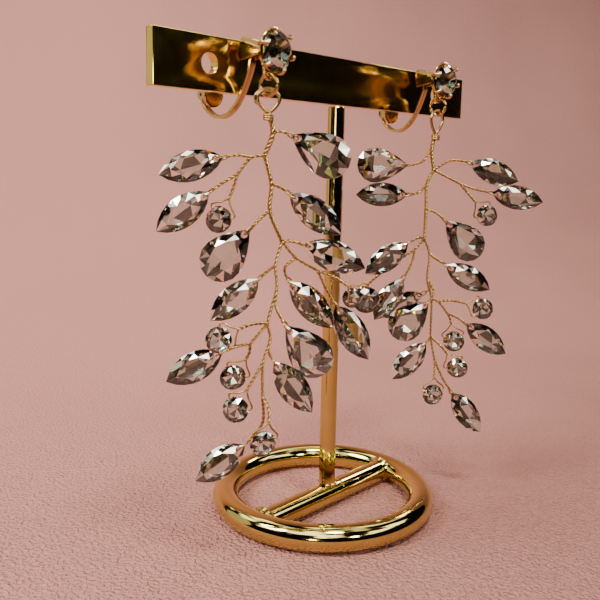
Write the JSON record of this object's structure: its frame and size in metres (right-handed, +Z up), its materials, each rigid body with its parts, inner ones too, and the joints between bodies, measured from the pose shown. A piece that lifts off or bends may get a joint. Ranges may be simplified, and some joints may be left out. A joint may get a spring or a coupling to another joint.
{
  "type": "pair of clip-on chandelier earrings on a T-bar jewellery stand",
  "caption": "Clip-on earrings with a faceted top stone and a hanging spray of wired crystals, held on the flat bar of a small ring-based stand.",
  "frame": {"origin": "on the pole's axis, at the flat underside of the cross rod, level with the surface that the stand rests on", "axes": "+X along the bar from the left earring to the right one, -Y the way that the top stones face, +Z up"},
  "size_m": [0.118, 0.0667, 0.124],
  "materials": {
    "polished_gold": "mirror polished",
    "rose_gold": "polished",
    "gold_wire": "twisted wire",
    "crystal": "faceted and polished"
  },
  "bodies": {
    "stand": {"stand_base": "polished_gold", "stand_pole": "polished_gold", "stand_bar": "polished_gold", "left_setting": "rose_gold", "left_top_stone": "crystal", "left_jump_ring": "rose_gold", "right_setting": "rose_gold", "right_top_stone": "crystal", "right_jump_ring": "rose_gold"},
    "left_arm": {"left_clip_arm": "rose_gold"},
    "left_pad": {"left_clip_pad": "rose_gold"},
    "left_drop": {"left_spray": "gold_wire", "left_pear_01": "crystal", "left_marquise_02": "crystal", "left_marquise_03": "crystal", "left_round_04": "crystal", "left_pear_05": "crystal", "left_marquise_06": "crystal", "left_marquise_07": "crystal", "left_marquise_08": "crystal", "left_round_09": "crystal", "left_marquise_10": "crystal", "left_round_11": "crystal", "left_round_12": "crystal", "left_marquise_13": "crystal", "left_round_14": "crystal", "left_marquise_15": "crystal", "left_pear_16": "crystal", "left_marquise_17": "crystal", "left_marquise_18": "crystal", "left_round_19": "crystal"},
    "right_arm": {"right_clip_arm": "rose_gold"},
    "right_pad": {"right_clip_pad": "rose_gold"},
    "right_drop": {"right_spray": "gold_wire", "right_pear_01": "crystal", "right_marquise_02": "crystal", "right_marquise_03": "crystal", "right_round_04": "crystal", "right_pear_05": "crystal", "right_marquise_06": "crystal", "right_marquise_07": "crystal", "right_marquise_08": "crystal", "right_round_09": "crystal", "right_marquise_10": "crystal", "right_round_11": "crystal", "right_round_12": "crystal", "right_marquise_13": "crystal", "right_round_14": "crystal", "right_marquise_15": "crystal", "right_pear_16": "crystal", "right_marquise_17": "crystal", "right_marquise_18": "crystal", "right_round_19": "crystal"}
  },
  "joints": [
    {"name": "left_clip_hinge", "type": "hinge", "parent": "stand", "child": "left_arm", "pos_m": [-0.0354, -0.0046, 0.1214], "axis": [1, 0, 0], "range_deg": [-20, 0]},
    {"name": "left_pad_swivel", "type": "hinge", "parent": "left_arm", "child": "left_pad", "pos_m": [-0.0354, 0.0103, 0.111], "axis": [1, 0, 0], "range_deg": [-15, 8]},
    {"name": "left_drop_swing", "type": "hinge", "parent": "stand", "child": "left_drop", "pos_m": [-0.0354, -0.0109, 0.11102], "axis": [0.8387, -0.5446, 0], "range_deg": [-60, 15]},
    {"name": "right_clip_hinge", "type": "hinge", "parent": "stand", "child": "right_arm", "pos_m": [0.03232, -0.00454, 0.1214], "axis": [0.9877, -0.1564, 0], "range_deg": [-20, 0]},
    {"name": "right_pad_swivel", "type": "hinge", "parent": "right_arm", "child": "right_pad", "pos_m": [0.03465, 0.01017, 0.111], "axis": [0.9877, -0.1564, 0], "range_deg": [-15, 8]},
    {"name": "right_drop_swing", "type": "hinge", "parent": "stand", "child": "right_drop", "pos_m": [0.03134, -0.01077, 0.11102], "axis": [0.9877, -0.1564, 0], "range_deg": [-60, 15]}
  ]
}
